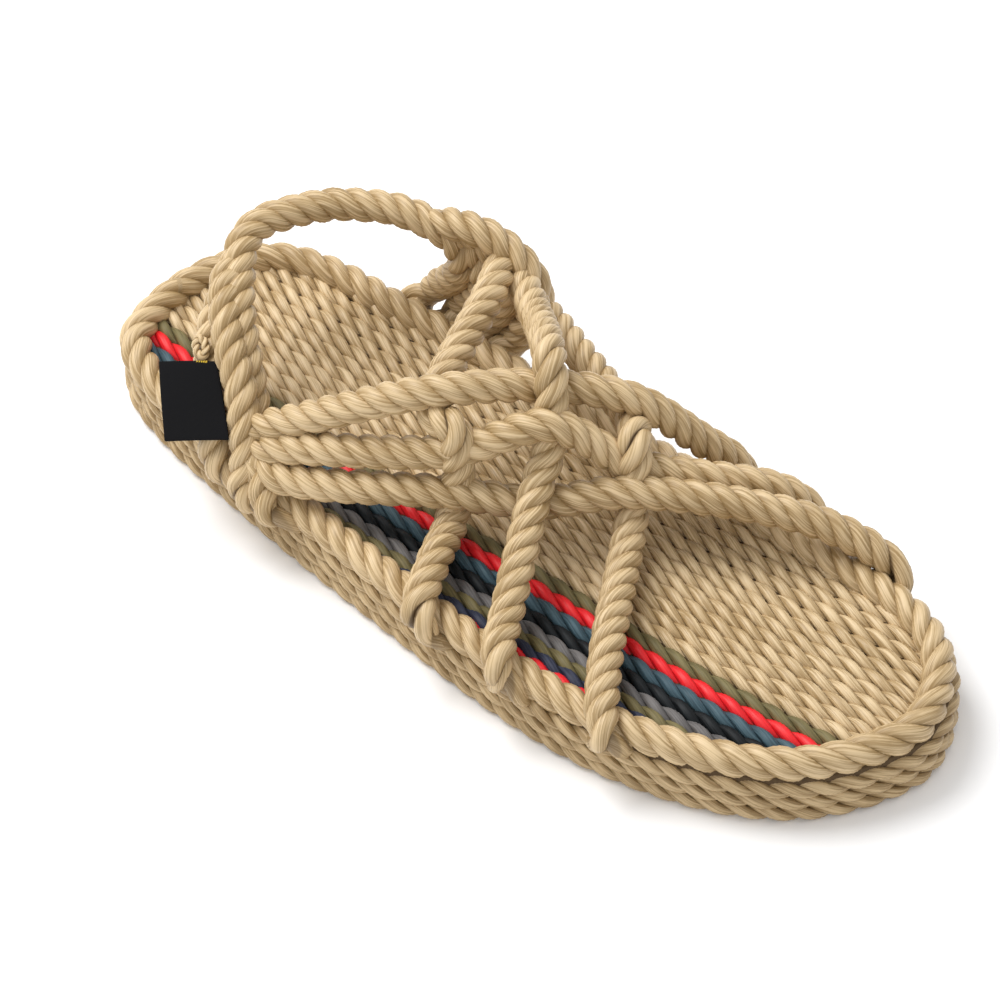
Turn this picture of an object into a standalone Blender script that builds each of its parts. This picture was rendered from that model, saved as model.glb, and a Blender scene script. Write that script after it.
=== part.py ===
# Rope sandal, right shoe: a flat sole of sewn rope rows, a rim rope, a bed of lengthwise cords,
# and an upper of woven rope straps with a heel strap. Metres, +Z up, toe towards +Y, outer side +X.
import math

import bmesh
import bpy
from mathutils import Vector

# sole
SOLE_LENGTH = 0.270         # heel to toe
BALL_WIDTH = 0.097          # across the ball
ROW_HEIGHT = 0.0042         # one row of sole rope
ROW_COUNT = 3
ROW_BULGE = 0.0013          # how far a row's belly stands out of the joint between two rows
RIM_ROPE = 0.0092           # diameter of the rope round the top edge
RIM_LEAN_HEEL = -0.0010     # rim set in from the sole's edge, at the heel and at the toe
RIM_LEAN_TOE = 0.0018
OUTLINE_POINTS = 68

# bed of cords inside the rim
CORDS_ACROSS = 18.28        # cords that would fill the bed from rim to rim at the ball
CORD_HEIGHT = 0.0050
CORD_VALLEY = 0.0012        # depth of the groove between two cords
TAN_CORDS = 13

# upper
STRAP_ROPE = 0.0095         # diameter of the strap rope
WEAVE_PRESS = 0.84          # share of a diameter that two crossing ropes keep between their middles
INSTEP_HEIGHT = 0.060       # floor to the middle of the weave at its highest crossing
HEEL_LOOP_HEIGHT = 0.055    # floor to the heel strap at the back
STRAP_FOOT = 0.0125         # floor to the buried end of a strap
STRAP_TUCK = 0.0010         # how far inside the sole's edge that end lies
STRAP_STEP = 0.0068         # spacing of the sections along a strap

# label
LABEL_THICK = 0.0012
LOOP_CORD = 0.0022
LOOP_WIDE = 0.0015          # half the width and height of the loop's middle line
LOOP_TALL = 0.0028
LOOP_PLACE = 0.74           # along the label's top edge, from its back corner

GAP = 0.0003                # between pieces that touch
SOLE_TOP = ROW_COUNT * ROW_HEIGHT
RIM_HEIGHT = SOLE_TOP + GAP + RIM_ROPE / 2
BED_BOTTOM = SOLE_TOP + GAP
BED_TOP = BED_BOTTOM + CORD_HEIGHT
HALF_LENGTH = SOLE_LENGTH / 2
HALF_BALL = BALL_WIDTH / 2
HALF_BED = HALF_BALL - RIM_ROPE
CORD_PITCH = 2 * HALF_BED / CORDS_ACROSS

# sole outline: along (0 heel, 1 toe), then the outer and the inner side as shares of half the ball width
OUTLINE = [
    (0.018, 0.50, -0.42),
    (0.055, 0.66, -0.66),
    (0.115, 0.76, -0.78),
    (0.204, 0.835, -0.83),
    (0.315, 0.905, -0.885),
    (0.463, 0.965, -0.935),
    (0.611, 1.01, -0.98),
    (0.722, 0.98, -1.005),
    (0.815, 0.86, -1.03),
    (0.889, 0.675, -1.00),
    (0.944, 0.43, -0.86),
    (0.982, 0.10, -0.60),
]
HEEL_TIP = 0.04             # across share of the outline's last point at the heel, and at the toe
TOE_TIP = -0.26

# middle line of the inner red cord, which every other cord follows: along, across as a share of half the bed
CORD_LINE = [
    (0.00, 0.445),
    (0.18, 0.48),
    (0.40, 0.488),
    (0.60, 0.426),
    (0.80, 0.364),
    (0.93, 0.247),
    (1.00, 0.16),
]

# coloured cords from the inside out: node, colour, width as a share of the pitch
COLOURED_CORDS = [
    ("cord_moss", "moss", 1.0),
    ("cord_red_inner", "red", 0.93),
    ("cord_slate", "slate", 1.08),
    ("cord_black", "black", 1.02),
    ("cord_grey", "grey", 0.80),
    ("cord_moss_outer", "moss", 0.74),
    ("cord_navy", "navy", 0.70),
    ("cord_red_outer", "red", 0.66),
]

# weave: strap from the outer ankle, strap from the inner ankle, across, along (-1 heel, 1 toe),
# height of the crossing as a share of the instep height, and 1 where the outer ankle's strap is on top
CROSSINGS = [
    (1, 1, 0.245, -0.160, 0.915, 1),
    (1, 2, -0.270, -0.012, 1.000, 0),
    (1, 3, -0.570, 0.110, 0.790, 1),
    (2, 1, 0.295, -0.085, 0.815, 0),
    (2, 2, -0.070, 0.053, 0.835, 1),
    (2, 3, -0.385, 0.179, 0.717, 0),
    (3, 1, 0.360, -0.066, 0.480, 1),
    (3, 2, 0.080, 0.072, 0.592, 0),
    (3, 3, -0.260, 0.215, 0.542, 1),
]

# straps: family and number, buried start, place where it leaves the ankle wrap, and shoulder (across,
# along, share of the instep height), then where it passes the rim: along, height over the rim rope's
# middle and distance outside the sole's edge, both in rope diameters, and along where it ends
STRAPS = [
    ("outer", 1, (0.773, -0.489, 0.560), (0.691, -0.409, 0.673), (-0.833, 0.202, 0.600), (0.268, 0.32, 0.28), 0.268),
    ("outer", 2, (0.825, -0.467, 0.485), (0.763, -0.389, 0.578), (-0.940, 0.400, 0.490), (0.445, 0.28, 0.26), 0.450),
    ("outer", 3, (0.866, -0.458, 0.450), (0.841, -0.368, 0.460), (-0.905, 0.533, 0.490), (0.670, 0.15, 0.12), 0.665),
    ("inner", 1, (-0.965, -0.366, 0.835), (-0.711, -0.312, 0.855), (0.738, 0.004, 0.437), (0.061, 0.62, 0.24), 0.076),
    ("inner", 2, (-0.985, -0.333, 0.772), (-0.763, -0.216, 0.828), (0.738, 0.203, 0.440), (0.269, 0.66, 0.08), 0.280),
    ("inner", 3, (-0.950, -0.265, 0.690), (-0.790, -0.106, 0.711), (0.608, 0.421, 0.415), (0.527, 0.30, 0.22), 0.515),
]

# ropes that wrap the ankle's sides, from the buried end up: side, along at the sole's side, then the
# points above the rim (across, along, height as a share of the heel loop's height)
WRAPS = [
    (1, -0.511, [
        (0.928, -0.533, 0.364),
        (0.822, -0.577, 0.560),
        (0.590, -0.667, 0.705),
        (0.330, -0.730, 0.870),
    ]),
    (1, -0.430, [
        (0.965, -0.444, 0.327),
        (0.907, -0.459, 0.436),
        (0.835, -0.481, 0.555),
        (0.759, -0.513, 0.664),
        (0.668, -0.556, 0.760),
        (0.588, -0.604, 0.818),
        (0.439, -0.672, 0.891),
        (0.291, -0.723, 0.924),
        (0.110, -0.762, 0.945),
    ]),
    (-1, -0.520, [
        (-0.985, -0.500, 0.327),
        (-0.985, -0.460, 0.455),
        (-0.960, -0.420, 0.590),
        (-0.940, -0.405, 0.718),
        (-0.945, -0.425, 0.855),
        (-0.925, -0.470, 0.945),
        (-0.880, -0.525, 0.962),
    ]),
    (-1, -0.452, [
        (-1.000, -0.425, 0.320),
        (-1.010, -0.382, 0.470),
        (-1.000, -0.358, 0.640),
        (-0.985, -0.358, 0.790),
        (-0.965, -0.385, 0.900),
        (-0.940, -0.440, 0.965),
        (-0.890, -0.505, 0.970),
    ]),
    (-1, -0.388, [
        (-1.015, -0.350, 0.315),
        (-1.025, -0.315, 0.475),
        (-1.035, -0.292, 0.655),
        (-1.010, -0.296, 0.815),
        (-0.985, -0.326, 0.925),
        (-0.960, -0.370, 0.990),
        (-0.915, -0.418, 1.030),
        (-0.870, -0.480, 1.015),
        (-0.840, -0.530, 0.975),
    ]),
]

# heel strap from its inner end to its outer end: the same columns, run on both sides down to the sole
HEEL_ENDS = (-0.600, -0.370)
HEEL_ROUTE = [
    (-0.959, -0.578, 0.336),
    (-0.959, -0.526, 0.482),
    (-0.928, -0.480, 0.627),
    (-0.903, -0.456, 0.764),
    (-0.887, -0.470, 0.891),
    (-0.856, -0.511, 0.945),
    (-0.816, -0.563, 0.973),
    (-0.759, -0.615, 0.982),
    (-0.678, -0.659, 0.982),
    (-0.584, -0.701, 0.982),
    (-0.454, -0.733, 0.990),
    (-0.301, -0.758, 1.000),
    (-0.144, -0.775, 1.005),
    (0.021, -0.767, 0.982),
    (0.175, -0.726, 0.936),
    (0.342, -0.669, 0.878),
    (0.500, -0.598, 0.773),
    (0.600, -0.546, 0.655),
    (0.730, -0.488, 0.545),
    (0.868, -0.424, 0.465),
    (0.965, -0.385, 0.336),
]

# label's corners: across, along and height as a share of the heel loop's height
LABEL_CORNERS = {
    "top_back": (0.812, -0.736, 0.697),
    "top_front": (0.655, -0.628, 0.787),
    "low_front": (0.926, -0.503, 0.613),
    "low_back": (1.104, -0.623, 0.508),
}

COLOURS = {
    "tan": (0.58, 0.44, 0.27),
    "moss": (0.17, 0.15, 0.075),
    "red": (0.68, 0.010, 0.020),
    "slate": (0.075, 0.115, 0.15),
    "black": (0.012, 0.014, 0.016),
    "grey": (0.16, 0.16, 0.15),
    "navy": (0.030, 0.035, 0.060),
    "cloth": (0.010, 0.010, 0.012),
}


def clear_scene():
    for item in list(bpy.data.objects):
        bpy.data.objects.remove(item, do_unlink=True)


def make_material(name, roughness=0.55):
    material = bpy.data.materials.new("rope_" + name)
    material.use_nodes = True
    shader = material.node_tree.nodes["Principled BSDF"]
    shader.inputs["Base Color"].default_value = (*COLOURS[name], 1.0)
    shader.inputs["Roughness"].default_value = roughness
    shader.inputs["Metallic"].default_value = 0.0
    return material


def place(across, along, height):
    """A point from its shares: across the ball, along the sole, and a height in metres."""
    return Vector((across * HALF_BALL, along * HALF_LENGTH, height))


def bend(a, b, c, d, share):
    """Centripetal Catmull-Rom point between b and c."""
    knots = [0.0]
    for near, far in ((a, b), (b, c), (c, d)):
        knots.append(knots[-1] + max((far - near).length, 1e-9) ** 0.5)
    t = knots[1] + (knots[2] - knots[1]) * share

    def mix(p, q, low, high):
        return p.lerp(q, (t - low) / (high - low))

    ab = mix(a, b, knots[0], knots[1])
    bc = mix(b, c, knots[1], knots[2])
    cd = mix(c, d, knots[2], knots[3])
    return mix(mix(ab, bc, knots[0], knots[2]), mix(bc, cd, knots[1], knots[3]), knots[1], knots[2])


def smooth_curve(points, closed=False, cuts=10):
    """Points read from a smooth curve through the given ones."""
    if closed:
        run = [points[-1], *points, points[0], points[1]]
    else:
        run = [points[0] * 2 - points[1], *points, points[-1] * 2 - points[-2]]
    curve = []
    for a, b, c, d in zip(run, run[1:], run[2:], run[3:]):
        curve += [bend(a, b, c, d, cut / cuts) for cut in range(cuts)]
    return curve if closed else curve + [points[-1]]


def even_spacing(curve, count, closed=False):
    """The curve again, as count points at even distances."""
    line = [*curve, curve[0]] if closed else curve
    run = [0.0]
    for near, far in zip(line, line[1:]):
        run.append(run[-1] + (far - near).length)
    steps = count if closed else count - 1
    spaced, place_in_run = [], 0
    for step in range(count):
        want = run[-1] * step / steps
        while place_in_run < len(run) - 2 and run[place_in_run + 1] < want:
            place_in_run += 1
        share = (want - run[place_in_run]) / max(run[place_in_run + 1] - run[place_in_run], 1e-12)
        spaced.append(line[place_in_run].lerp(line[place_in_run + 1], share))
    return spaced


def sole_outline():
    """The sole's edge seen from above, counterclockwise from the heel."""
    outer = [place(outer, 2 * along - 1, 0) for along, outer, inner in OUTLINE]
    inner = [place(inner, 2 * along - 1, 0) for along, outer, inner in OUTLINE]
    points = [place(HEEL_TIP, -1, 0), *outer, place(TOE_TIP, 1, 0), *reversed(inner)]
    return even_spacing(smooth_curve(points, closed=True), OUTLINE_POINTS, closed=True)


def inset_outline(outline, inset):
    """The outline moved inwards by a distance, or by one that depends on the place along the sole."""
    moved = []
    for index, point in enumerate(outline):
        run = outline[(index + 1) % len(outline)] - outline[index - 1]
        inwards = Vector((-run.y, run.x, 0)).normalized()
        distance = inset(point) if callable(inset) else inset
        moved.append(point + inwards * distance)
    return moved


def rim_inset(point):
    share = (point.y + HALF_LENGTH) / SOLE_LENGTH
    return RIM_ROPE / 2 + RIM_LEAN_HEEL + (RIM_LEAN_TOE - RIM_LEAN_HEEL) * share


def sole_edge(outline, side, along):
    """How far the sole's edge is from the middle line, on one side, at a place along it."""
    y = along * HALF_LENGTH
    for near, far in zip(outline, [*outline[1:], outline[0]]):
        if (near.x + far.x) * side > 0 and min(near.y, far.y) <= y <= max(near.y, far.y) and near.y != far.y:
            return near.lerp(far, (y - near.y) / (far.y - near.y)).x
    return side * HALF_BALL


def new_object(name, mesh, collection, colour=None):
    piece = bpy.data.objects.new(name, mesh)
    collection.objects.link(piece)
    if colour:
        mesh.materials.clear()
        mesh.materials.append(MATERIALS[colour])
    return piece


def loft(name, rings, collection, colour=None):
    """A closed solid through rings of as many points each, with a flat face at either end."""
    mesh = bpy.data.meshes.new(name)
    shape = bmesh.new()
    loops = [[shape.verts.new(point) for point in ring] for ring in rings]
    for low, high in zip(loops, loops[1:]):
        for index in range(len(low)):
            after = (index + 1) % len(low)
            shape.faces.new((low[index], low[after], high[after], high[index]))
    shape.faces.new(list(reversed(loops[0])))
    shape.faces.new(loops[-1])
    bmesh.ops.recalc_face_normals(shape, faces=shape.faces)
    shape.to_mesh(mesh)
    shape.free()
    return new_object(name, mesh, collection, colour)


def tube(name, points, diameter, collection, colour=None, closed=False):
    """A round rope along the points, as one closed mesh."""
    curve = bpy.data.curves.new(name, "CURVE")
    curve.dimensions = "3D"
    curve.bevel_depth = diameter / 2
    curve.bevel_resolution = 2
    curve.use_fill_caps = not closed
    spline = curve.splines.new("POLY")
    spline.points.add(len(points) - 1)
    for knot, point in zip(spline.points, points):
        knot.co = (*point, 1.0)
    spline.use_cyclic_u = closed
    guide = bpy.data.objects.new(name + "_guide", curve)
    collection.objects.link(guide)
    graph = bpy.context.evaluated_depsgraph_get()
    mesh = bpy.data.meshes.new_from_object(guide.evaluated_get(graph))
    bpy.data.objects.remove(guide)
    shape = bmesh.new()
    shape.from_mesh(mesh)
    bmesh.ops.remove_doubles(shape, verts=shape.verts, dist=0.00001)
    bmesh.ops.recalc_face_normals(shape, faces=shape.faces)
    shape.to_mesh(mesh)
    shape.free()
    mesh.name = name
    return new_object(name, mesh, collection, colour)


def combine(piece, tool, operation, solver="EXACT"):
    modifier = piece.modifiers.new(tool.name, "BOOLEAN")
    modifier.operation = operation
    modifier.solver = solver
    modifier.object = tool
    tool.hide_render = True
    tool.display_type = "WIRE"


def make_sole(outline):
    """Rows of rope sewn on each other: flat below and above, with a rib for each row."""
    rings = []
    for row in range(ROW_COUNT):
        for share in (-1.0, -0.6, 0.0, 0.6):
            inset = ROW_BULGE * (1 - math.sqrt(1 - share * share))
            height = (row + (share + 1) / 2) * ROW_HEIGHT
            rings.append([point + Vector((0, 0, height)) for point in inset_outline(outline, inset)])
    rings.append([point + Vector((0, 0, SOLE_TOP)) for point in inset_outline(outline, ROW_BULGE)])
    return loft("sole", rings, PARTS, "tan")


def make_rim(outline):
    middle = [point + Vector((0, 0, RIM_HEIGHT)) for point in inset_outline(outline, rim_inset)]
    return tube("rim_rope", middle, RIM_ROPE, PARTS, "tan", closed=True)


def cord_stations():
    """Middle of the inner red cord at a few stations, as (across, along) in metres."""
    points = [Vector((across * HALF_BED, (2 * along - 1) * HALF_LENGTH, 0)) for along, across in CORD_LINE]
    return even_spacing(smooth_curve(points), 11)


def ribbed_bar(name, left, widths, colour):
    """Cords side by side as one bar: flat below, a rounded ridge for each cord on top."""
    rings = []
    right = left + sum(widths)
    for station in cord_stations():
        top, edge = [], right
        for width in reversed(widths):
            for share, drop in ((0.0, 1.0), (0.28, 0.22), (0.72, 0.22)):
                top.append((edge - share * width, BED_TOP - drop * CORD_VALLEY))
            edge -= width
        top.append((left, BED_TOP - CORD_VALLEY))
        section = [(left, BED_BOTTOM), (right, BED_BOTTOM), *top]
        rings.append([station + Vector((x, 0, z)) for x, z in section])
    return loft(name, rings, PARTS, colour)


def make_bed(outline):
    """The tan cords as one ribbed bed and the coloured cords beside it, all trimmed to the rim's inside."""
    edge = inset_outline(outline, lambda point: rim_inset(point) + RIM_ROPE / 2 + GAP)
    trim = loft("bed_trim", [[p + Vector((0, 0, z)) for p in edge] for z in (0.0, 2 * BED_TOP)], TOOLS)
    left = -CORD_PITCH * (COLOURED_CORDS[0][2] + COLOURED_CORDS[1][2] / 2)
    bed_left = left - TAN_CORDS * CORD_PITCH
    cords = [ribbed_bar("footbed", bed_left, [CORD_PITCH] * (TAN_CORDS - 1) + [CORD_PITCH - GAP], "tan")]
    for name, colour, share in COLOURED_CORDS:
        width = share * CORD_PITCH
        cords.append(ribbed_bar(name, left, [width - GAP], colour))
        left += width
    for cord in cords:
        combine(cord, trim, "INTERSECT")
    return cords


def strap_end(outline, side, along):
    """The strap's last stretch: past the rim's outer side and into the side of the sole."""
    x = sole_edge(outline, side, along)
    return Vector((x - side * STRAP_TUCK, along * HALF_LENGTH, STRAP_FOOT))


def weave_point(crossing, outer_family):
    outer, inner, across, along, height, outer_on_top = crossing
    lift = WEAVE_PRESS * STRAP_ROPE / 2
    above = outer_family == bool(outer_on_top)
    return place(across, along, height * INSTEP_HEIGHT + (lift if above else -lift))


def strap_routes(outline):
    routes = []
    for family, number, start, leave, shoulder, over_rim, landing in STRAPS:
        outer_family = family == "outer"
        column = 0 if outer_family else 1
        side = -1 if outer_family else 1
        along, rise, outside = over_rim
        points = [place(across, y, height * INSTEP_HEIGHT) for across, y, height in (start, leave)]
        points += [weave_point(row, outer_family) for row in CROSSINGS if row[column] == number]
        points.append(place(shoulder[0], shoulder[1], shoulder[2] * INSTEP_HEIGHT))
        passing = sole_edge(outline, side, along) + side * outside * STRAP_ROPE
        points.append(Vector((passing, along * HALF_LENGTH, RIM_HEIGHT + rise * STRAP_ROPE)))
        points.append(strap_end(outline, side, landing))
        routes.append((f"{family}_strap_{number}", points))
    return routes


def ankle_routes(outline):
    routes = []
    for number, (side, along, rows) in enumerate(WRAPS, start=1):
        points = [strap_end(outline, side, along)]
        points += [place(across, y, height * HEEL_LOOP_HEIGHT) for across, y, height in rows]
        routes.append((f"ankle_wrap_{number}", points))
    heel = [strap_end(outline, -1, HEEL_ENDS[0])]
    heel += [place(across, y, height * HEEL_LOOP_HEIGHT) for across, y, height in HEEL_ROUTE]
    heel.append(strap_end(outline, 1, HEEL_ENDS[1]))
    return [("heel_strap", heel), *routes]


def rope_points(points, spare=0.0):
    """Evenly spaced points of a rope, run on by a spare length at both ends."""
    curve = smooth_curve(points)
    length = sum((far - near).length for near, far in zip(curve, curve[1:]))
    spaced = even_spacing(curve, max(4, round(length / STRAP_STEP) + 1))
    spaced[0] = spaced[0] + (spaced[0] - spaced[1]).normalized() * spare
    spaced[-1] = spaced[-1] + (spaced[-1] - spaced[-2]).normalized() * spare
    return spaced


def make_upper(outline, seats):
    """All strap ropes joined where they cross, and a seat pressed for each into the rim and the sole."""
    routes = ankle_routes(outline) + strap_routes(outline)
    first, *others = routes
    upper = tube("upper", rope_points(first[1]), STRAP_ROPE, PARTS, "tan")
    for name, points in others:
        combine(upper, tube(name, rope_points(points), STRAP_ROPE, TOOLS), "UNION")
    for name, points in routes:
        seat = tube(name + "_seat", rope_points(points, spare=GAP), STRAP_ROPE + 2 * GAP, TOOLS)
        for piece in seats:
            combine(piece, seat, "DIFFERENCE", "MANIFOLD")
    return upper


def make_label():
    """A cloth tab and the cord ring that holds its top edge."""
    corner = {name: place(x, y, z * HEEL_LOOP_HEIGHT) for name, (x, y, z) in LABEL_CORNERS.items()}
    top = (corner["top_back"] + corner["top_front"]) / 2
    across = (corner["top_front"] - corner["top_back"]).normalized()
    down = ((corner["low_back"] + corner["low_front"]) / 2 - top).normalized()
    face = across.cross(down).normalized()
    sheet = [corner[name] for name in ("top_back", "top_front", "low_front", "low_back")]
    rings = [[point + face * (side * LABEL_THICK / 2) for point in sheet] for side in (-1, 1)]
    label = loft("label", rings, PARTS, "cloth")
    held = corner["top_back"].lerp(corner["top_front"], LOOP_PLACE)
    centre = held - down * (LOOP_TALL + LOOP_CORD / 2 + GAP)
    ring = []
    for step in range(12):
        angle = math.tau * step / 12
        ring.append(centre + across * (LOOP_WIDE * math.cos(angle)) + down * (LOOP_TALL * math.sin(angle)))
    return label, tube("label_loop", ring, LOOP_CORD, PARTS, "tan", closed=True)


def centre_on_origin(pieces, tools):
    """Everything hangs on one empty, which moves the middle of the whole sandal's base to the origin."""
    graph = bpy.context.evaluated_depsgraph_get()
    corners = []
    for piece in pieces:
        shape = piece.evaluated_get(graph)
        corners += [shape.matrix_world @ Vector(corner) for corner in shape.bound_box]
    low = [min(corner[axis] for corner in corners) for axis in range(3)]
    high = [max(corner[axis] for corner in corners) for axis in range(3)]
    anchor = bpy.data.objects.new("sandal_anchor", None)
    PARTS.objects.link(anchor)
    for piece in [*pieces, *tools]:
        piece.parent = anchor
    anchor.location = (-(low[0] + high[0]) / 2, -(low[1] + high[1]) / 2, -low[2])


def shade(piece):
    piece.data.shade_smooth()
    piece.data.set_sharp_from_angle(angle=math.radians(50))


clear_scene()
PARTS = bpy.data.collections.new("rope_sandal")
TOOLS = bpy.data.collections.new("shaping_tools")
bpy.context.scene.collection.children.link(PARTS)
bpy.context.scene.collection.children.link(TOOLS)
MATERIALS = {name: make_material(name, 0.8 if name == "cloth" else 0.55) for name in COLOURS}

edge_line = sole_outline()
sole = make_sole(edge_line)
rim = make_rim(edge_line)
bed = make_bed(edge_line)
upper = make_upper(edge_line, (sole, rim))
tab, tab_loop = make_label()
sandal = [sole, rim, *bed, upper, tab, tab_loop]
for part in sandal:
    shade(part)
centre_on_origin(sandal, list(TOOLS.objects))
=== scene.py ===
# Looks of the rope sandal: every rope, cord and sole row is laid from its own twisted strands.
import math

import bmesh
import bpy
import numpy as np
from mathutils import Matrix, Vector


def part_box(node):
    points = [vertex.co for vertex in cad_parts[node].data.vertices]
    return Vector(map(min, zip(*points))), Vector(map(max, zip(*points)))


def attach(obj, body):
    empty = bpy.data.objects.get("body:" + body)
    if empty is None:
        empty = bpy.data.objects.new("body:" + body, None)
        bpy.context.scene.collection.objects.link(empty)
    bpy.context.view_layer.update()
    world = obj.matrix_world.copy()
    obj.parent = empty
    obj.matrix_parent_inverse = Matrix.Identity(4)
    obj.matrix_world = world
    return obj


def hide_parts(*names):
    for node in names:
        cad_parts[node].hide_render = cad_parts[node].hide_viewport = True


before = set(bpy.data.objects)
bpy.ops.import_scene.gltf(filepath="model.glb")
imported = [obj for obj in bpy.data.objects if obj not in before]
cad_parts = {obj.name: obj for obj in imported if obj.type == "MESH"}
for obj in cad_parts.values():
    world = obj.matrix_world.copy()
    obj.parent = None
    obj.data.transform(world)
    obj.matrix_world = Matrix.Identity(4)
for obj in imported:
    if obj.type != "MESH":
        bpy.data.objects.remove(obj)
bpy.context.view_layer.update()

# Sole and its ropes, in metres, as the solids have them
soleSize = {
    "length": 0.270,
    "ballWidth": 0.097,
    "rows": 3,
    "rowHeight": 0.0042,
    "rowStep": 0.0044,  # from one row's middle to the next, so that their strands bed into each other
    "rimRope": 0.0092,
    "rimLean": (-0.0010, 0.0018),  # rim set in from the sole's edge, at the heel and at the toe
    "gap": 0.0003,
    "outlinePoints": 240,
}
halfLength = soleSize["length"] / 2
halfBall = soleSize["ballWidth"] / 2
soleTop = soleSize["rows"] * soleSize["rowHeight"]
rimHeight = soleTop + soleSize["gap"] + soleSize["rimRope"] / 2

# along, outer side, inner side
outlineShares = [
    (0.018, 0.50, -0.42), (0.055, 0.66, -0.66), (0.115, 0.76, -0.78), (0.204, 0.835, -0.83),
    (0.315, 0.905, -0.885), (0.463, 0.965, -0.935), (0.611, 1.01, -0.98), (0.722, 0.98, -1.005),
    (0.815, 0.86, -1.03), (0.889, 0.675, -1.00), (0.944, 0.43, -0.86), (0.982, 0.10, -0.60),
]
heelTip = 0.04
toeTip = -0.26


def place(across, along, height):
    return Vector((across * halfBall, along * halfLength, height))


def bendBetween(a, b, c, d, share):
    knots = [0.0]
    for near, far in ((a, b), (b, c), (c, d)):
        knots.append(knots[-1] + max((far - near).length, 1e-9) ** 0.5)
    t = knots[1] + (knots[2] - knots[1]) * share

    def mix(p, q, low, high):
        return p.lerp(q, (t - low) / (high - low))

    ab = mix(a, b, knots[0], knots[1])
    bc = mix(b, c, knots[1], knots[2])
    cd = mix(c, d, knots[2], knots[3])
    return mix(mix(ab, bc, knots[0], knots[2]), mix(bc, cd, knots[1], knots[3]), knots[1], knots[2])


def smoothCurve(points, closed=False, cuts=10):
    if closed:
        run = [points[-1], *points, points[0], points[1]]
    else:
        run = [points[0] * 2 - points[1], *points, points[-1] * 2 - points[-2]]
    curve = []
    for a, b, c, d in zip(run, run[1:], run[2:], run[3:]):
        curve += [bendBetween(a, b, c, d, cut / cuts) for cut in range(cuts)]
    return curve if closed else curve + [points[-1]]


def spaceEvenly(curve, count, closed=False):
    # numpy rows of count points, at even distances along the curve
    line = np.array([p[:] for p in (list(curve) + [curve[0]] if closed else curve)])
    run = np.concatenate([[0], np.cumsum(np.linalg.norm(np.diff(line, axis=0), axis=1))])
    want = np.linspace(0, run[-1], count + 1 if closed else count)
    spaced = np.stack([np.interp(want, run, line[:, axis]) for axis in range(3)], axis=1)
    return spaced[:-1] if closed else spaced


def soleOutline():
    outer = [place(outer, 2 * along - 1, 0) for along, outer, inner in outlineShares]
    inner = [place(inner, 2 * along - 1, 0) for along, outer, inner in outlineShares]
    points = [place(heelTip, -1, 0), *outer, place(toeTip, 1, 0), *reversed(inner)]
    curve = smoothCurve(points, closed=True)
    return [Vector(p) for p in spaceEvenly(curve, soleSize["outlinePoints"], closed=True)]


def movedInwards(edge, inset):
    moved = []
    for index, point in enumerate(edge):
        run = edge[(index + 1) % len(edge)] - edge[index - 1]
        inwards = Vector((-run.y, run.x, 0)).normalized()
        distance = inset(point) if callable(inset) else inset
        moved.append(point + inwards * distance)
    return moved


def rimInset(point):
    share = (point.y + halfLength) / soleSize["length"]
    low, high = soleSize["rimLean"]
    return soleSize["rimRope"] / 2 + low + (high - low) * share


def soleEdge(side, along):
    # how far the sole's edge is from the middle line, on one side
    y = along * halfLength
    for near, far in zip(outline, [*outline[1:], outline[0]]):
        onSide = (near.x + far.x) * side > 0 and near.y != far.y
        if onSide and min(near.y, far.y) <= y <= max(near.y, far.y):
            return near.lerp(far, (y - near.y) / (far.y - near.y)).x
    return side * halfBall


outline = soleOutline()
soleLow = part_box("sole")[0]
# the CAD model stands with its own middle over the origin, so every rope moves by this much
shift = Vector((
    soleLow.x - min(p.x for p in outline),
    soleLow.y - min(p.y for p in outline),
    soleLow.z,
))
print("outline laid")


# How each rope is laid: spacing is from one strand to the next along the rope, deep and wide are the
# half axes of a strand as shares of the diameter, and rings is the sections in one turn
ropeLays = {
    "strap": dict(diameter=0.0098, spacing=0.0061, strands=3, deep=0.262, wide=0.262, rings=22, sides=14),
    "rim": dict(diameter=0.0096, spacing=0.0074, strands=3, deep=0.262, wide=0.268, rings=24, sides=14),
    "row": dict(diameter=0.0054, spacing=0.0080, strands=2, deep=0.290, wide=0.330, rings=16, sides=12),
    "cord": dict(diameter=0.0052, spacing=0.0080, strands=2, deep=0.290, wide=0.330, rings=16, sides=12),
    "under": dict(diameter=0.0048, spacing=0.0080, strands=2, deep=0.290, wide=0.330, rings=12, sides=8),
    "loop": dict(diameter=0.0026, spacing=0.0024, strands=2, deep=0.27, wide=0.28, rings=12, sides=8),
}
densePath = 60  # a path with this many points or more is used as it is
roughSteps = 400  # points that measure a rope's length
taperRun = 0.8  # length over which an end swells to full size, in diameters
fanReach = 2.3  # length over which the strands part at the sole, in diameters
strandOffset = 0.37  # keeps the fibres of two strands from being the same


def ropeFrames(path, closed):
    # direction and two sides at every point, turned as little as possible from one to the next
    ahead = np.roll(path, -1, 0) - path if closed else np.gradient(path, axis=0)
    if closed:
        ahead = ahead + np.roll(ahead, 1, 0)
    ahead /= np.linalg.norm(ahead, axis=1)[:, None]
    up = np.array([0.0, 0.0, 1.0]) if abs(ahead[0][2]) < 0.8 else np.array([1.0, 0.0, 0.0])
    side = np.cross(ahead[0], up)
    side /= np.linalg.norm(side)
    sides = [side]
    for direction in ahead[1:]:
        side = sides[-1] - direction * np.dot(sides[-1], direction)
        sides.append(side / np.linalg.norm(side))
    sides = np.array(sides)
    return ahead, sides, np.cross(ahead, sides)


def strandLean(lay):
    # angle between a strand and the rope's middle line
    out = lay["diameter"] / 2 - lay["deep"] * lay["diameter"]
    return math.atan(math.tau * out / (lay["spacing"] * lay["strands"]))


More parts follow.
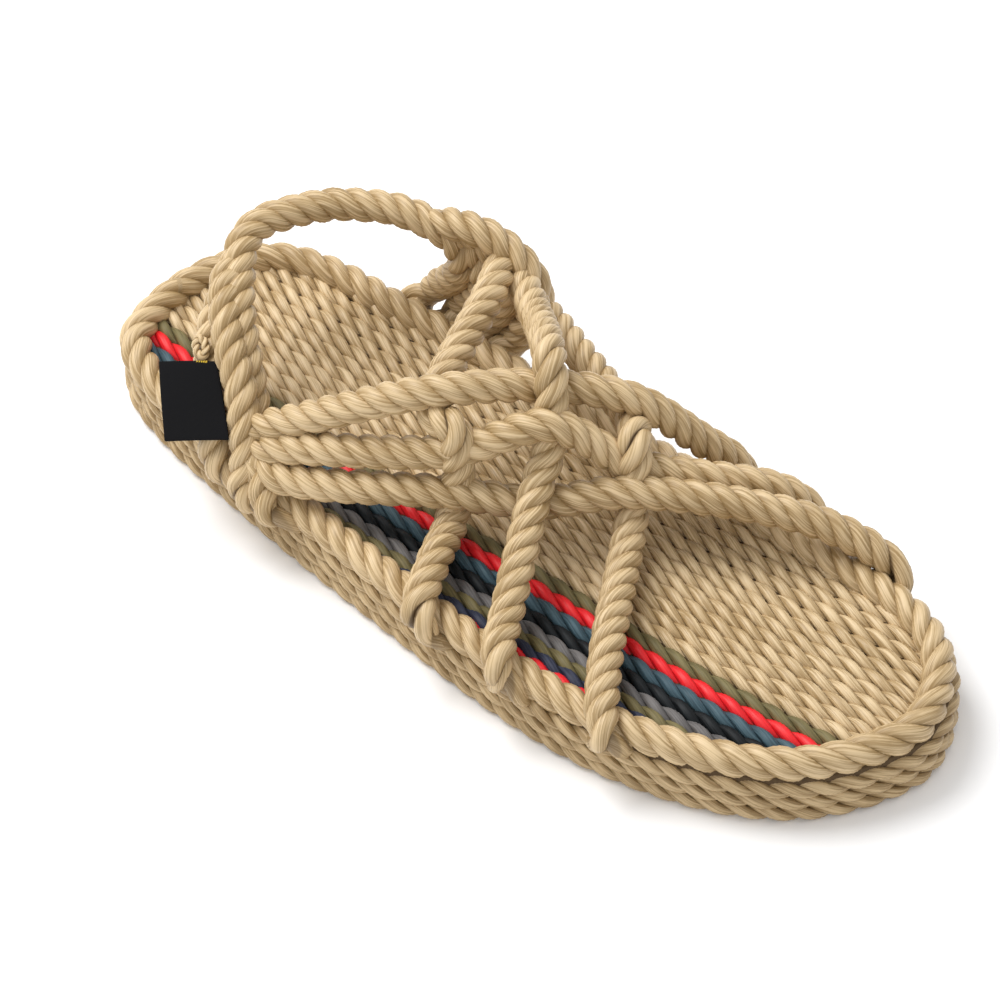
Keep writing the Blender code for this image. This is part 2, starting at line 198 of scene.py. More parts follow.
def foldShare(lay):
    # how far round a strand its neighbour begins, as a share of its girth from its middle
    deep = lay["deep"] * lay["diameter"]
    out = lay["diameter"] / 2 - deep
    wide = lay["wide"] * lay["diameter"] / math.cos(strandLean(lay))
    sector = math.pi / lay["strands"]
    for degree in range(1, 180):
        turn = math.radians(degree)
        reach = (out + deep * math.cos(turn)) * math.sin(sector)
        if reach <= wide * math.sin(turn) * math.cos(sector):
            return turn / math.tau
    return 0.5


def layStrand(total, path, frames, angles, run, lay, closed, swell, spread):
    # one strand of a rope: a grid that is wrapped round the strand's own winding line
    ahead, side, over = frames
    deep = lay["deep"] * lay["diameter"] * swell
    wide = lay["wide"] * lay["diameter"] * swell
    outwards = np.cos(angles)[:, None] * side + np.sin(angles)[:, None] * over
    winding = (0.5 - lay["deep"]) * lay["diameter"] * np.minimum(1, swell) * (1 - spread[:, 3])
    middle = path + outwards * winding[:, None] + spread[:, :3]
    if closed:
        along = np.roll(middle, -1, 0) - np.roll(middle, 1, 0)
    else:
        along = np.gradient(middle, axis=0)
    along /= np.linalg.norm(along, axis=1)[:, None]
    outwards = outwards - along * (outwards * along).sum(1)[:, None]
    outwards /= np.linalg.norm(outwards, axis=1)[:, None]
    sideways = np.cross(along, outwards)

    rings, sides = len(path) - (0 if closed else 1), lay["sides"]
    shape = bmesh.new()
    bmesh.ops.create_grid(shape, x_segments=sides, y_segments=rings, size=1.0)
    mesh = bpy.data.meshes.new("strand")
    shape.to_mesh(mesh)
    shape.free()
    spot = np.zeros(len(mesh.vertices) * 3)
    mesh.vertices.foreach_get("co", spot)
    spot = spot.reshape(-1, 3)
    around = np.rint((spot[:, 0] + 1) / 2 * sides).astype(int)
    ring = np.rint((spot[:, 1] + 1) / 2 * rings).astype(int)
    turn = math.tau * around / sides + math.pi
    row = ring % len(path)
    outStep = (deep[row] * np.cos(turn))[:, None]
    sideStep = (wide[row] * np.sin(turn))[:, None]
    body = middle[row] + outwards[row] * outStep + sideways[row] * sideStep
    mesh.vertices.foreach_set("co", body.ravel())

    corner = np.zeros(len(mesh.loops), int)
    mesh.loops.foreach_get("vertex_index", corner)
    length = np.append(run, run[-1] + run[1])
    strandMap = np.stack([around[corner] / sides, length[ring[corner]]], 1)
    mesh.uv_layers.new(name="strandMap").data.foreach_set("uv", strandMap.ravel())
    looseMap = np.stack([spread[row[corner], 3], 0 * corner], 1)
    mesh.uv_layers.new(name="looseMap").data.foreach_set("uv", looseMap.ravel())
    total.from_mesh(mesh)
    bpy.data.meshes.remove(mesh)


def fanSpread(fans, run, length, lay, strand):
    # sideways step of a strand at a fanned end, and in the last column how loose it lies there
    spread = np.zeros((len(run), 4))
    for fan, left in zip(fans, (run, length - run)):
        if fan is not None:
            loose = np.clip(1 - left / (fanReach * lay["diameter"]), 0, 1)
            loose = loose * loose * (3 - 2 * loose)
            spread[:, 3] = np.maximum(spread[:, 3], loose)
            spread[:, :3] += loose[:, None] * np.array(fan[:]) * (strand - 0.5)
    return spread


def layRope(total, points, kind, closed=False, phase=0.0, ends=(1.0, 1.0), offset=0.0, fans=(None, None)):
    # a whole rope along the points, right-handed lay; a fan spreads the strands of that end along the sole
    lay = ropeLays[kind]
    curve = smoothCurve([Vector(p) for p in points], closed) if len(points) < densePath else points
    rough = spaceEvenly(curve, roughSteps, closed)
    closing = np.linalg.norm(rough[0] - rough[-1]) if closed else 0.0
    length = np.linalg.norm(np.diff(rough, axis=0), axis=1).sum() + closing
    turns = length / (lay["spacing"] * lay["strands"])
    if closed:
        turns = max(1, round(turns))
    count = max(8, int(turns * lay["rings"]))
    path = spaceEvenly(curve, count, closed) + np.array(shift[:])
    frames = ropeFrames(path, closed)
    share = np.arange(count) / (count if closed else count - 1)
    run = share * length
    swell = np.ones(count)
    if not closed:
        tip = lay["diameter"] * taperRun
        for end, left in zip(ends, (run, length - run)):
            swell = swell * np.minimum(1, end + (1 - end) * left / tip)
    twist = 0.0
    if closed:
        last, first = frames[1][-1], frames[1][0]
        twist = math.atan2(np.dot(last, frames[2][0]), np.dot(last, first))
    for strand in range(lay["strands"]):
        angles = phase + math.tau * (turns * share + strand / lay["strands"]) - twist * share
        spread = fanSpread(fans, run, length, lay, strand)
        fibreRun = run + offset + strandOffset * strand
        layStrand(total, path, frames, angles, fibreRun, lay, closed, swell, spread)


def finishPiece(name, total, material, nodes, weld=0.000002):
    bmesh.ops.remove_doubles(total, verts=total.verts, dist=weld)
    edges = [edge for edge in total.edges if edge.is_boundary]
    if edges:
        bmesh.ops.holes_fill(total, edges=edges, sides=24)
    bmesh.ops.recalc_face_normals(total, faces=total.faces)
    mesh = bpy.data.meshes.new(name)
    total.to_mesh(mesh)
    total.free()
    for polygon in mesh.polygons:
        polygon.use_smooth = True
    mesh.materials.append(material)
    piece = bpy.data.objects.new(name, mesh)
    bpy.context.scene.collection.objects.link(piece)
    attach(piece, "root")
    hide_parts(*nodes)
    triangles = sum(len(polygon.vertices) - 2 for polygon in mesh.polygons)
    print("piece", name, triangles, "triangles")


class Signal:
    # one socket of a finish, which can be added to, multiplied and so on
    def __init__(self, finish, socket):
        self.finish = finish
        self.socket = socket

    def math(self, operation, *others):
        sockets = {0: self, **{number: other for number, other in enumerate(others, start=1)}}
        return self.finish.node("ShaderNodeMath", {"operation": operation}, sockets)[0]

    def __add__(self, other):
        return self.math("ADD", other)

    def __sub__(self, other):
        return self.math("SUBTRACT", other)

    def __rsub__(self, other):
        return self.math("MULTIPLY", -1.0).math("ADD", other)

    def __mul__(self, other):
        return self.math("MULTIPLY", other)

    def between(self, low, high):
        sockets = {"Value": self, "From Min": low, "From Max": high}
        return self.finish.node("ShaderNodeMapRange", {"interpolation_type": "SMOOTHSTEP"}, sockets)[0]


class Finish:
    def __init__(self, name):
        self.material = bpy.data.materials.new(name)
        self.material.use_nodes = True
        self.tree = self.material.node_tree
        self.shader = self.tree.nodes["Principled BSDF"]

    def node(self, kind, settings=None, sockets=None):
        made = self.tree.nodes.new(kind)
        for key, value in (settings or {}).items():
            setattr(made, key, value)
        for key, value in (sockets or {}).items():
            self.feed(made.inputs[key], value)
        return [Signal(self, socket) for socket in made.outputs if socket.enabled]

    def feed(self, socket, value):
        if isinstance(value, Signal):
            self.tree.links.new(value.socket, socket)
        else:
            socket.default_value = value

    def ownSpot(self):
        return self.node("ShaderNodeTexCoord")[3]  # Object coordinates

    def mapSpot(self, name):
        return self.node("ShaderNodeUVMap", {"uv_map": name})[0]

    def split(self, vector):
        return self.node("ShaderNodeSeparateXYZ", {}, {0: vector})

    def join(self, x, y, z):
        return self.node("ShaderNodeCombineXYZ", {}, {"X": x, "Y": y, "Z": z})[0]

    def noise(self, vector, scale, detail=2.0, roughness=0.5):
        sockets = {"Vector": vector, "Scale": scale, "Detail": detail, "Roughness": roughness}
        return self.node("ShaderNodeTexNoise", {}, sockets)[0]

    def wave(self, vector, direction, scale):
        sockets = {"Vector": vector, "Scale": scale, "Distortion": 0.6}
        return self.node("ShaderNodeTexWave", {"bands_direction": direction}, sockets)[1]

    def bump(self, height, strength, distance):
        sockets = {"Strength": strength, "Distance": distance, "Height": height}
        return self.node("ShaderNodeBump", {}, sockets)[0]

    def blend(self, share, first, second):
        made = self.tree.nodes.new("ShaderNodeMix")
        made.data_type = "RGBA"
        self.feed(made.inputs[0], share)
        self.feed(made.inputs[6], first)
        self.feed(made.inputs[7], second)
        return Signal(self, made.outputs[2])

    def surface(self, **values):
        for key, value in values.items():
            self.feed(self.shader.inputs[key.replace("_", " ")], value)


# light and body are the fibres' two tones, shade is painted shade for the fold between two strands
ropeLooks = {
    "tan": dict(
        light=(0.68, 0.52, 0.31), body=(0.36, 0.240, 0.108),
        shade=(0.060, 0.030, 0.010), rough=0.44, gloss=0.38),
    # a darker copy of the tan rope look; the difference is painted shade
    "strap": dict(
        light=(0.65, 0.49, 0.285), body=(0.330, 0.217, 0.093),
        shade=(0.050, 0.024, 0.008), rough=0.44, gloss=0.38),
    # a darker copy of the tan rope look again; the difference is painted shade for the sole's shaded sides
    "sole": dict(
        light=(0.58, 0.43, 0.24), body=(0.290, 0.188, 0.080),
        shade=(0.045, 0.022, 0.007), rough=0.50, gloss=0.38),
    "moss": dict(
        light=(0.20, 0.168, 0.076), body=(0.115, 0.095, 0.040),
        shade=(0.022, 0.018, 0.008), rough=0.50, gloss=0.20),
    "red": dict(
        light=(0.84, 0.016, 0.022), body=(0.66, 0.006, 0.012),
        shade=(0.20, 0.002, 0.004), rough=0.46, gloss=0.38),
    "slate": dict(
        light=(0.075, 0.128, 0.155), body=(0.034, 0.064, 0.082),
        shade=(0.006, 0.011, 0.014), rough=0.50, gloss=0.20),
    "black": dict(
        light=(0.012, 0.015, 0.017), body=(0.003, 0.004, 0.005),
        shade=(0.001, 0.001, 0.002), rough=0.52, gloss=0.20),
    "grey": dict(
        light=(0.18, 0.17, 0.165), body=(0.095, 0.089, 0.087),
        shade=(0.018, 0.017, 0.016), rough=0.50, gloss=0.20),
    "navy": dict(
        light=(0.048, 0.055, 0.090), body=(0.020, 0.024, 0.044),
        shade=(0.005, 0.006, 0.010), rough=0.50, gloss=0.20),
}
# scales are per metre, across and along a strand
fibreLook = {
    "fine": (2600.0, 110.0),
    "yarn": (1150.0, 55.0),
    "cloud": 42.0,
    "fineContrast": 2.5,
    "yarnContrast": 1.4,
    "cloudContrast": 1.0,
    "middleTone": 0.60,
    "paintedEdgeShade": 0.38,  # painted shade: how much darker a strand is at its edge
    "foldShadeFrom": 0.085,  # the painted shade in the fold begins and is full this far before the neighbour
    "foldShadeFull": 0.012,
    "foldShadeDepth": 0.94,
    "bumpFine": 0.55,
    "bumpYarn": 0.85,
    "bumpDistance": 0.0003,
    "roughSpread": 0.35,
}


def ropeFinish(name, look, kind):
    # fibres run nearly along the rope, so at a slant on each strand; folds between strands get painted shade,
    # and each strand painted shade towards its edges
    finish = Finish(name)
    lay = ropeLays[kind]
    girthSize = math.pi * (lay["deep"] + lay["wide"]) * lay["diameter"]
    lean = strandLean(lay)
    slant = math.tan(lean) / math.cos(lean)
    fold = foldShare(lay)
    around, along = finish.split(finish.mapSpot("strandMap"))[:2]
    loose = finish.split(finish.mapSpot("looseMap"))[0]
    slanted = around * girthSize + along * slant
    across, run = fibreLook["fine"]
    fibres = finish.noise(finish.join(slanted * across, along * run, 0.3), 1.0, 3.0, 0.62)
    across, run = fibreLook["yarn"]
    yarns = finish.noise(finish.join(slanted * across, along * run, 2.1), 1.0, 2.0, 0.5)
    cloud = finish.noise(finish.ownSpot(), fibreLook["cloud"], 3.0, 0.55)
    side = (around - 0.5).math("ABSOLUTE")
    # painted shade in the fold between two strands, left out where the strands lie loose
    paintedFoldShade = side.between(fold - fibreLook["foldShadeFrom"], fold - fibreLook["foldShadeFull"]) * (1.0 - loose)
    tone = (fibres - 0.5) * fibreLook["fineContrast"] + (yarns - 0.5) * fibreLook["yarnContrast"]
    tone = tone + (cloud - 0.5) * fibreLook["cloudContrast"] + fibreLook["middleTone"]
    # painted shade: each strand darker from its middle towards its edges
    tone = tone - side.between(0.0, fold) * fibreLook["paintedEdgeShade"]
    body = finish.blend(tone.between(0.0, 1.0), (*look["body"], 1), (*look["light"], 1))
    # painted fold shade laid over the fibre colour
    colour = finish.blend(paintedFoldShade * fibreLook["foldShadeDepth"], body, (*look["shade"], 1))
    height = fibres * fibreLook["bumpFine"] + yarns * fibreLook["bumpYarn"]
    bump = finish.bump(height, 0.6, fibreLook["bumpDistance"])
    roughness = (fibres - 0.5) * fibreLook["roughSpread"] + look["rough"]
    finish.surface(Base_Color=colour, Roughness=roughness, Normal=bump)
    finish.surface(Specular_IOR_Level=look["gloss"])
    return finish.material


strapFinish = ropeFinish("tanRope", ropeLooks["strap"], "strap")
rimFinish = ropeFinish("tanRim", ropeLooks["strap"], "rim")
rowFinish = ropeFinish("tanRow", ropeLooks["sole"], "row")
underFinish = ropeFinish("tanUnderside", ropeLooks["sole"], "under")
bedFinish = ropeFinish("tanCord", ropeLooks["tan"], "cord")
loopFinish = ropeFinish("tanLoop", ropeLooks["tan"], "loop")
cordFinishes = {
    name: ropeFinish(name + "Cord", ropeLooks[name], "cord")
    for name in ("moss", "red", "slate", "black", "grey", "navy")
}
print("finishes made")


# Bed of cords inside the rim, with the middle of the inner red cord: along, share of half the bed across
bedSize = {
    "cordsAcross": 18.28,
    "cordHeight": 0.0050,
    "tanCords": 14,
    "rimTuck": 0.0010,  # how far the cords run in under the rim rope
}
cordLine = [
    (0.0, 0.445), (0.18, 0.48), (0.40, 0.488), (0.60, 0.426),
    (0.80, 0.364), (0.93, 0.247), (1.0, 0.16),
]
halfBed = halfBall - soleSize["rimRope"]
cordPitch = 2 * halfBed / bedSize["cordsAcross"]
bedMiddle = soleTop + soleSize["gap"] + bedSize["cordHeight"] / 2
shortestRun = 12  # a cord with fewer points than this inside the edge is left out

# piece, colour, width in pitches, slot
colouredCords = [
    ("cord_moss", "moss", 1.0, "cord_moss"),
    ("cord_red_inner", "red", 0.93, "cord_red"),
    ("cord_slate", "slate", 1.08, "cord_slate"),
    ("cord_black", "black", 1.02, "cord_black"),
    ("cord_grey", "grey", 0.80, "cord_grey"),
    ("cord_moss_outer", "moss", 0.74, "cord_moss"),
    ("cord_navy", "navy", 0.70, "cord_navy"),
    ("cord_red_outer", "red", 0.66, "cord_red"),
]


def insideEdge(point, edge):
    hit = False
    for a, b in zip(edge, [*edge[1:], edge[0]]):
        if (a.y > point.y) != (b.y > point.y) and point.x < (b.x - a.x) * (point.y - a.y) / (b.y - a.y) + a.x:
            hit = not hit
    return hit


def cordPath(offset, height, inset):
    # a lengthwise cord, beside the red one by the offset, as far as it lies inside the inset edge
    stations = [Vector((across * halfBed, (2 * along - 1) * halfLength, 0)) for along, across in cordLine]
    line = [point + Vector((offset, 0, 0)) for point in smoothCurve(stations, cuts=40)]
    edge = movedInwards(outline, inset)
    return [point + Vector((0, 0, height)) for point in line if insideEdge(point, edge)]


def bedInset(point):
    return rimInset(point) + bedSize["rimTuck"]


def makeBed():
    left = -cordPitch * (colouredCords[0][2] + colouredCords[1][2] / 2)
    total = bmesh.new()
    for number in range(bedSize["tanCords"]):
        path = cordPath(left - (number + 0.5) * cordPitch, bedMiddle, bedInset)
        if len(path) > shortestRun:
            layRope(total, spaceEvenly(path, densePath), "cord", phase=1.05 * number, offset=0.9 * number)
    finishPiece("tanCords", total, bedFinish, ["footbed"])
    for index, (name, colour, share, slotName) in enumerate(colouredCords):
        width = share * cordPitch
        path = cordPath(left + width / 2, bedMiddle, bedInset)
        left += width
        total = bmesh.new()
        layRope(total, spaceEvenly(path, densePath), "cord", phase=1.7 * index, offset=1.3 * index)
        finishPiece(name.replace("cord_", "laid_"), total, cordFinishes[colour], [name])


# Sole: three rows of thin rope round the edge, a flat underside of lengthwise ropes and a pad inside
underside = {
    "first": -14,  # ropes counted from the inner red cord, to the inner side and to the outer side
    "last": 7,
    "pitch": 0.90,  # in diameters
    "inset": 0.75,  # from the sole's edge, in diameters of a row
}
pad = {
    "inset": 0.0026,
    "lift": 0.0010,
    "scale": 900.0,
    # dark and light are both dark browns: painted shade seen between the ropes, with a little grain
    "dark": (0.05, 0.028, 0.011, 1),
    "light": (0.14, 0.085, 0.036, 1),
}


def makeSole():
    thick = ropeLays["row"]["diameter"]
    middle = movedInwards(outline, thick / 2)
    total = bmesh.new()
    for level in range(soleSize["rows"]):
        height = thick / 2 + level * soleSize["rowStep"]
        points = [p + Vector((0, 0, height)) for p in middle]
        layRope(total, points, "row", closed=True, phase=2.1 * level, offset=3.1 * level)
    finishPiece("soleRows", total, rowFinish, ["sole"])
    total = bmesh.new()
    thin = ropeLays["under"]["diameter"]
    for number in range(underside["first"], underside["last"] + 1):
        path = cordPath(number * thin * underside["pitch"], thin / 2, thick * underside["inset"])
        if len(path) > shortestRun:
            layRope(total, spaceEvenly(path, densePath), "under", phase=1.3 * number, offset=0.7 * number)
    finishPiece("soleUnderside", total, underFinish, ["sole"])


def padFinish():
    finish = Finish("solePad")
    grain = finish.noise(finish.ownSpot(), pad["scale"], 2.0)
    finish.surface(Base_Color=finish.blend(grain, pad["dark"], pad["light"]), Roughness=grain * 0.1 + 0.8)
    return finish.material


def makePad():
    # closes the view between two ropes, with a dark brown that is painted shade for the gaps
    core = bmesh.new()
    rim = [core.verts.new(p + shift) for p in movedInwards(outline, pad["inset"])]
    base = core.faces.new(rim)
    bmesh.ops.translate(core, verts=rim, vec=(0, 0, pad["lift"]))
    top = bmesh.ops.extrude_face_region(core, geom=[base])["geom"]
    raised = [item for item in top if isinstance(item, bmesh.types.BMVert)]
    bmesh.ops.translate(core, verts=raised, vec=(0, 0, bedMiddle - pad["lift"]))
    finishPiece("solePad", core, padFinish(), ["sole"])


def makeRim():
    total = bmesh.new()
    middle = [p + Vector((0, 0, rimHeight)) for p in movedInwards(outline, rimInset)]
    layRope(total, middle, "rim", closed=True, phase=0.4)
    finishPiece("rimRope", total, rimFinish, ["rim_rope"])


# Upper: the straps in their weave, the ankle wraps and the heel strap, with the routes of the solids
upperSize = {
    "rope": 0.0095,
    "press": 0.84,  # share of a diameter between the middles of two crossing ropes
    "instep": 0.060,  # floor to the highest crossing
    "heelLoop": 0.055,  # floor to the heel strap at the back
    "foot": 0.0145,  # height of a strap's end at the sole's side
    "tuck": 0.0012,  # how far that end lies inside the edge
    "buried": 0.0068,  # how much further in and down it runs out of sight
    "buriedDrop": 0.0015,
    "fan": 0.0044,  # from one loose strand to the next
    "fanProbe": 0.03,  # stretch of the edge that gives the fan its direction, as a share of half the length
    "tip": 0.7,  # size of a rope's end face
}

# outer strap, inner strap, across, along, height, outer strap on top
crossings = [
    (1, 1, 0.245, -0.160, 0.915, 1), (1, 2, -0.270, -0.012, 1.000, 0), (1, 3, -0.570, 0.110, 0.790, 1),
    (2, 1, 0.295, -0.085, 0.815, 0), (2, 2, -0.070, 0.053, 0.835, 1), (2, 3, -0.385, 0.179, 0.717, 0),
    (3, 1, 0.360, -0.066, 0.480, 1), (3, 2, 0.080, 0.072, 0.592, 0), (3, 3, -0.260, 0.215, 0.542, 1),
]

# family, number, buried start, leaving point, shoulder, passing the rim (along, rise, outside), end along
straps = [
    ("outer", 1, (0.773, -0.489, 0.560), (0.691, -0.409, 0.673), (-0.833, 0.202, 0.600),
     (0.268, 0.32, 0.28), 0.268),
    ("outer", 2, (0.825, -0.467, 0.485), (0.763, -0.389, 0.578), (-0.940, 0.400, 0.490),
     (0.445, 0.28, 0.26), 0.450),
    ("outer", 3, (0.866, -0.458, 0.450), (0.841, -0.368, 0.460), (-0.905, 0.533, 0.490),
     (0.670, 0.15, 0.12), 0.665),
    ("inner", 1, (-0.965, -0.366, 0.835), (-0.711, -0.312, 0.855), (0.738, 0.004, 0.437),
     (0.061, 0.62, 0.24), 0.076),
    ("inner", 2, (-0.985, -0.333, 0.772), (-0.763, -0.216, 0.828), (0.738, 0.203, 0.440),
     (0.269, 0.66, 0.08), 0.280),
    ("inner", 3, (-0.950, -0.265, 0.690), (-0.790, -0.106, 0.711), (0.608, 0.421, 0.415),
     (0.527, 0.30, 0.22), 0.515),
]

# side, end along, points upwards
wraps = [
    (1, -0.511, [
        (0.928, -0.533, 0.364), (0.822, -0.577, 0.560), (0.590, -0.667, 0.705), (0.330, -0.730, 0.870)]),
    (1, -0.430, [
        (0.965, -0.444, 0.327), (0.907, -0.459, 0.436), (0.835, -0.481, 0.555), (0.759, -0.513, 0.664),
        (0.668, -0.556, 0.760), (0.588, -0.604, 0.818), (0.439, -0.672, 0.891), (0.291, -0.723, 0.924),
        (0.110, -0.762, 0.945)]),
    (-1, -0.520, [
        (-0.985, -0.500, 0.327), (-0.985, -0.460, 0.455), (-0.960, -0.420, 0.590), (-0.940, -0.405, 0.718),
        (-0.945, -0.425, 0.855), (-0.925, -0.470, 0.945), (-0.880, -0.525, 0.962)]),
    (-1, -0.452, [
        (-1.000, -0.425, 0.320), (-1.010, -0.382, 0.470), (-1.000, -0.358, 0.640), (-0.985, -0.358, 0.790),
        (-0.965, -0.385, 0.900), (-0.940, -0.440, 0.965), (-0.890, -0.505, 0.970)]),
    (-1, -0.388, [
        (-1.015, -0.350, 0.315), (-1.025, -0.315, 0.475), (-1.035, -0.292, 0.655), (-1.010, -0.296, 0.815),
        (-0.985, -0.326, 0.925), (-0.960, -0.370, 0.990), (-0.915, -0.418, 1.030), (-0.870, -0.480, 1.015),
        (-0.840, -0.530, 0.975)]),
]
heelEnds = (-0.600, -0.370)
heelRoute = [
    (-0.959, -0.578, 0.336), (-0.959, -0.526, 0.482), (-0.928, -0.480, 0.627), (-0.903, -0.456, 0.764),
    (-0.887, -0.470, 0.891), (-0.856, -0.511, 0.945), (-0.816, -0.563, 0.973), (-0.759, -0.615, 0.982),
    (-0.678, -0.659, 0.982), (-0.584, -0.701, 0.982), (-0.454, -0.733, 0.990), (-0.301, -0.758, 1.000),
    (-0.144, -0.775, 1.005), (0.021, -0.767, 0.982), (0.175, -0.726, 0.936), (0.342, -0.669, 0.878),
    (0.500, -0.598, 0.773), (0.600, -0.546, 0.655), (0.730, -0.488, 0.545), (0.868, -0.424, 0.465),
    (0.965, -0.385, 0.336),
]


def strapEnd(side, along):
    edge = soleEdge(side, along)
    foot = Vector((edge - side * upperSize["tuck"], along * halfLength, upperSize["foot"]))
    buried = foot - Vector((side * upperSize["buried"], 0, upperSize["buriedDrop"]))
    return [foot, buried]


def fanStep(side, along):
    # step from one loose strand to the next, along the sole's edge towards the toe
    probe = upperSize["fanProbe"]
    drift = soleEdge(side, along + probe) - soleEdge(side, along - probe)
    return Vector((drift, 2 * probe * halfLength, 0)).normalized() * upperSize["fan"]


def ankleRoutes():
    heel = list(reversed(strapEnd(-1, heelEnds[0])))
    heel += [place(x, y, z * upperSize["heelLoop"]) for x, y, z in heelRoute]
    heel += strapEnd(1, heelEnds[1])
    routes = [(heel, (fanStep(-1, heelEnds[0]), fanStep(1, heelEnds[1])))]
    for side, along, rows in wraps:
        points = list(reversed(strapEnd(side, along)))
        points += [place(x, y, z * upperSize["heelLoop"]) for x, y, z in rows]
        routes.append((points, (fanStep(side, along), None)))
    return routes


def weavePoint(crossing, isOuter):
    across, along, height, outerOnTop = crossing[2:]
    lift = upperSize["press"] * upperSize["rope"] / 2
    above = isOuter == bool(outerOnTop)
    return place(across, along, height * upperSize["instep"] + (lift if above else -lift))


def strapRoutes():
    rope = upperSize["rope"]
    routes = []
    for family, number, start, leave, shoulder, overRim, landing in straps:
        isOuter = family == "outer"
        side = -1 if isOuter else 1
        column = 0 if isOuter else 1
        points = [place(x, y, z * upperSize["instep"]) for x, y, z in (start, leave)]
        points += [weavePoint(row, isOuter) for row in crossings if row[column] == number]
        points.append(place(shoulder[0], shoulder[1], shoulder[2] * upperSize["instep"]))
        along, rise, outside = overRim
        passing = soleEdge(side, along) + side * outside * rope
        points.append(Vector((passing, along * halfLength, rimHeight + rise * rope)))
        points += strapEnd(side, landing)
        routes.append((points, (None, fanStep(side, landing))))
    return routes


def makeUpper():
    total = bmesh.new()
    tips = (upperSize["tip"], upperSize["tip"])
    for index, (points, fans) in enumerate(ankleRoutes() + strapRoutes()):
        layRope(total, points, "strap", phase=0.9 * index, ends=tips, offset=2.3 * index, fans=fans)
    finishPiece("strapRopes", total, strapFinish, ["upper"])


# Label: a small folded cloth tab, bare, with a bar of yellow thread and the cord loop that holds it
labelSize = {
    "cells": (14, 18),
    "thick": 0.0009,
    "edge": 0.00025,
    "lift": 0.0004,  # how far the cloth stands out, its bow across and its ripple
    "bow": 0.0005,
    "ripple": 0.0003,
    "held": 0.74,  # along the top edge from its back corner
    "stitches": 5,
    "stitch": 0.0006,
    "stitchStep": 0.0007,
    "stitchShape": (0.7, 0.7, 1.7),
    "stitchDrop": 0.0006,  # below the top edge, and proud of the cloth
    "stitchProud": 0.0004,
    "loopTall": 0.0028,  # half the loop's height and width
    "loopWide": 0.0015,
    "loopDrop": 0.0014,  # from the loop's lowest middle point to the tab
}
labelCorners = {
    "topBack": (0.812, -0.735, 0.698),
    "topFront": (0.656, -0.620, 0.785),
    "lowFront": (0.922, -0.498, 0.612),
    "lowBack": (1.100, -0.621, 0.511),
}
clothLook = {
    "dark": (0.0025, 0.0025, 0.003, 1),
    "light": (0.009, 0.009, 0.010, 1),
    "warp": 9.0,
    "weft": 14.0,
    "gloss": 0.10,
}
threadLook = {
    "dark": (0.42, 0.27, 0.01, 1),
    "light": (0.72, 0.50, 0.03, 1),
    "scale": 2400.0,
}


def clothFinish():
    finish = Finish("labelCloth")
    spot = finish.mapSpot("clothMap")
    weave = finish.wave(spot, "X", clothLook["warp"]) * 0.5 + finish.wave(spot, "Y", clothLook["weft"]) * 0.5
    colour = finish.blend(weave, clothLook["dark"], clothLook["light"])
    finish.surface(Base_Color=colour, Roughness=weave * 0.1 + 0.82, Normal=finish.bump(weave, 0.4, 0.0002))
    finish.surface(Specular_IOR_Level=clothLook["gloss"])
    return finish.material


def threadFinish():
    finish = Finish("yellowThread")
    strands = finish.noise(finish.ownSpot(), threadLook["scale"], 2.0)
    colour = finish.blend(strands, threadLook["dark"], threadLook["light"])
    finish.surface(Base_Color=colour, Roughness=strands * 0.2 + 0.45)
    return finish.material


def makeTab(corner, face):
    shape = bmesh.new()
    bmesh.ops.create_grid(shape, x_segments=labelSize["cells"][0], y_segments=labelSize["cells"][1], size=1.0)
    weave = shape.loops.layers.uv.new("clothMap")
    for polygon in shape.faces:
        for loop in polygon.loops:
            loop[weave].uv = (loop.vert.co.x, loop.vert.co.y)
    for vert in shape.verts:
        u, v = (vert.co.x + 1) / 2, (1 - vert.co.y) / 2
        top = corner["topBack"].lerp(corner["topFront"], u)
        low = corner["lowBack"].lerp(corner["lowFront"], u)
        curl = labelSize["lift"] + labelSize["bow"] * math.sin(math.pi * u)
        curl += labelSize["ripple"] * math.sin(4.0 * v + 2.0 * u)
        vert.co = top.lerp(low, v) + face * curl
    bmesh.ops.recalc_face_normals(shape, faces=shape.faces)
    bmesh.ops.solidify(shape, geom=shape.faces[:], thickness=labelSize["thick"])
    edges = [edge for edge in shape.edges if edge.calc_face_angle(0) > 1.0]
    bmesh.ops.bevel(shape, geom=edges, offset=labelSize["edge"], offset_type="OFFSET", affect="EDGES",
                    segments=2, profile=0.5, material=-1)
    finishPiece("clothTab", shape, clothFinish(), ["label"])


def makeThread(held, across, down, face):
    stitch = bmesh.new()
    for step in range(labelSize["stitches"]):
        aside = labelSize["stitchStep"] * (step - labelSize["stitches"] // 2)
        spot = held + across * aside + down * labelSize["stitchDrop"] + face * labelSize["stitchProud"]
        ball = bmesh.ops.create_uvsphere(stitch, u_segments=8, v_segments=6, radius=labelSize["stitch"])
        made = ball["verts"]
        bmesh.ops.scale(stitch, verts=made, vec=labelSize["stitchShape"])
        bmesh.ops.translate(stitch, verts=made, vec=spot)
    finishPiece("tabThread", stitch, threadFinish(), ["label"], weld=0.0)


def makeLabelCord(held, across, down):
    centre = held - down * (labelSize["loopTall"] + labelSize["loopDrop"]) - shift
    ring = []
    for step in range(16):
        angle = math.tau * step / 16
        aside = across * (labelSize["loopWide"] * math.cos(angle))
        ring.append(centre + aside + down * (labelSize["loopTall"] * math.sin(angle)))
    total = bmesh.new()
    layRope(total, ring, "loop", closed=True)
    finishPiece("labelCord", total, loopFinish, ["label_loop"])


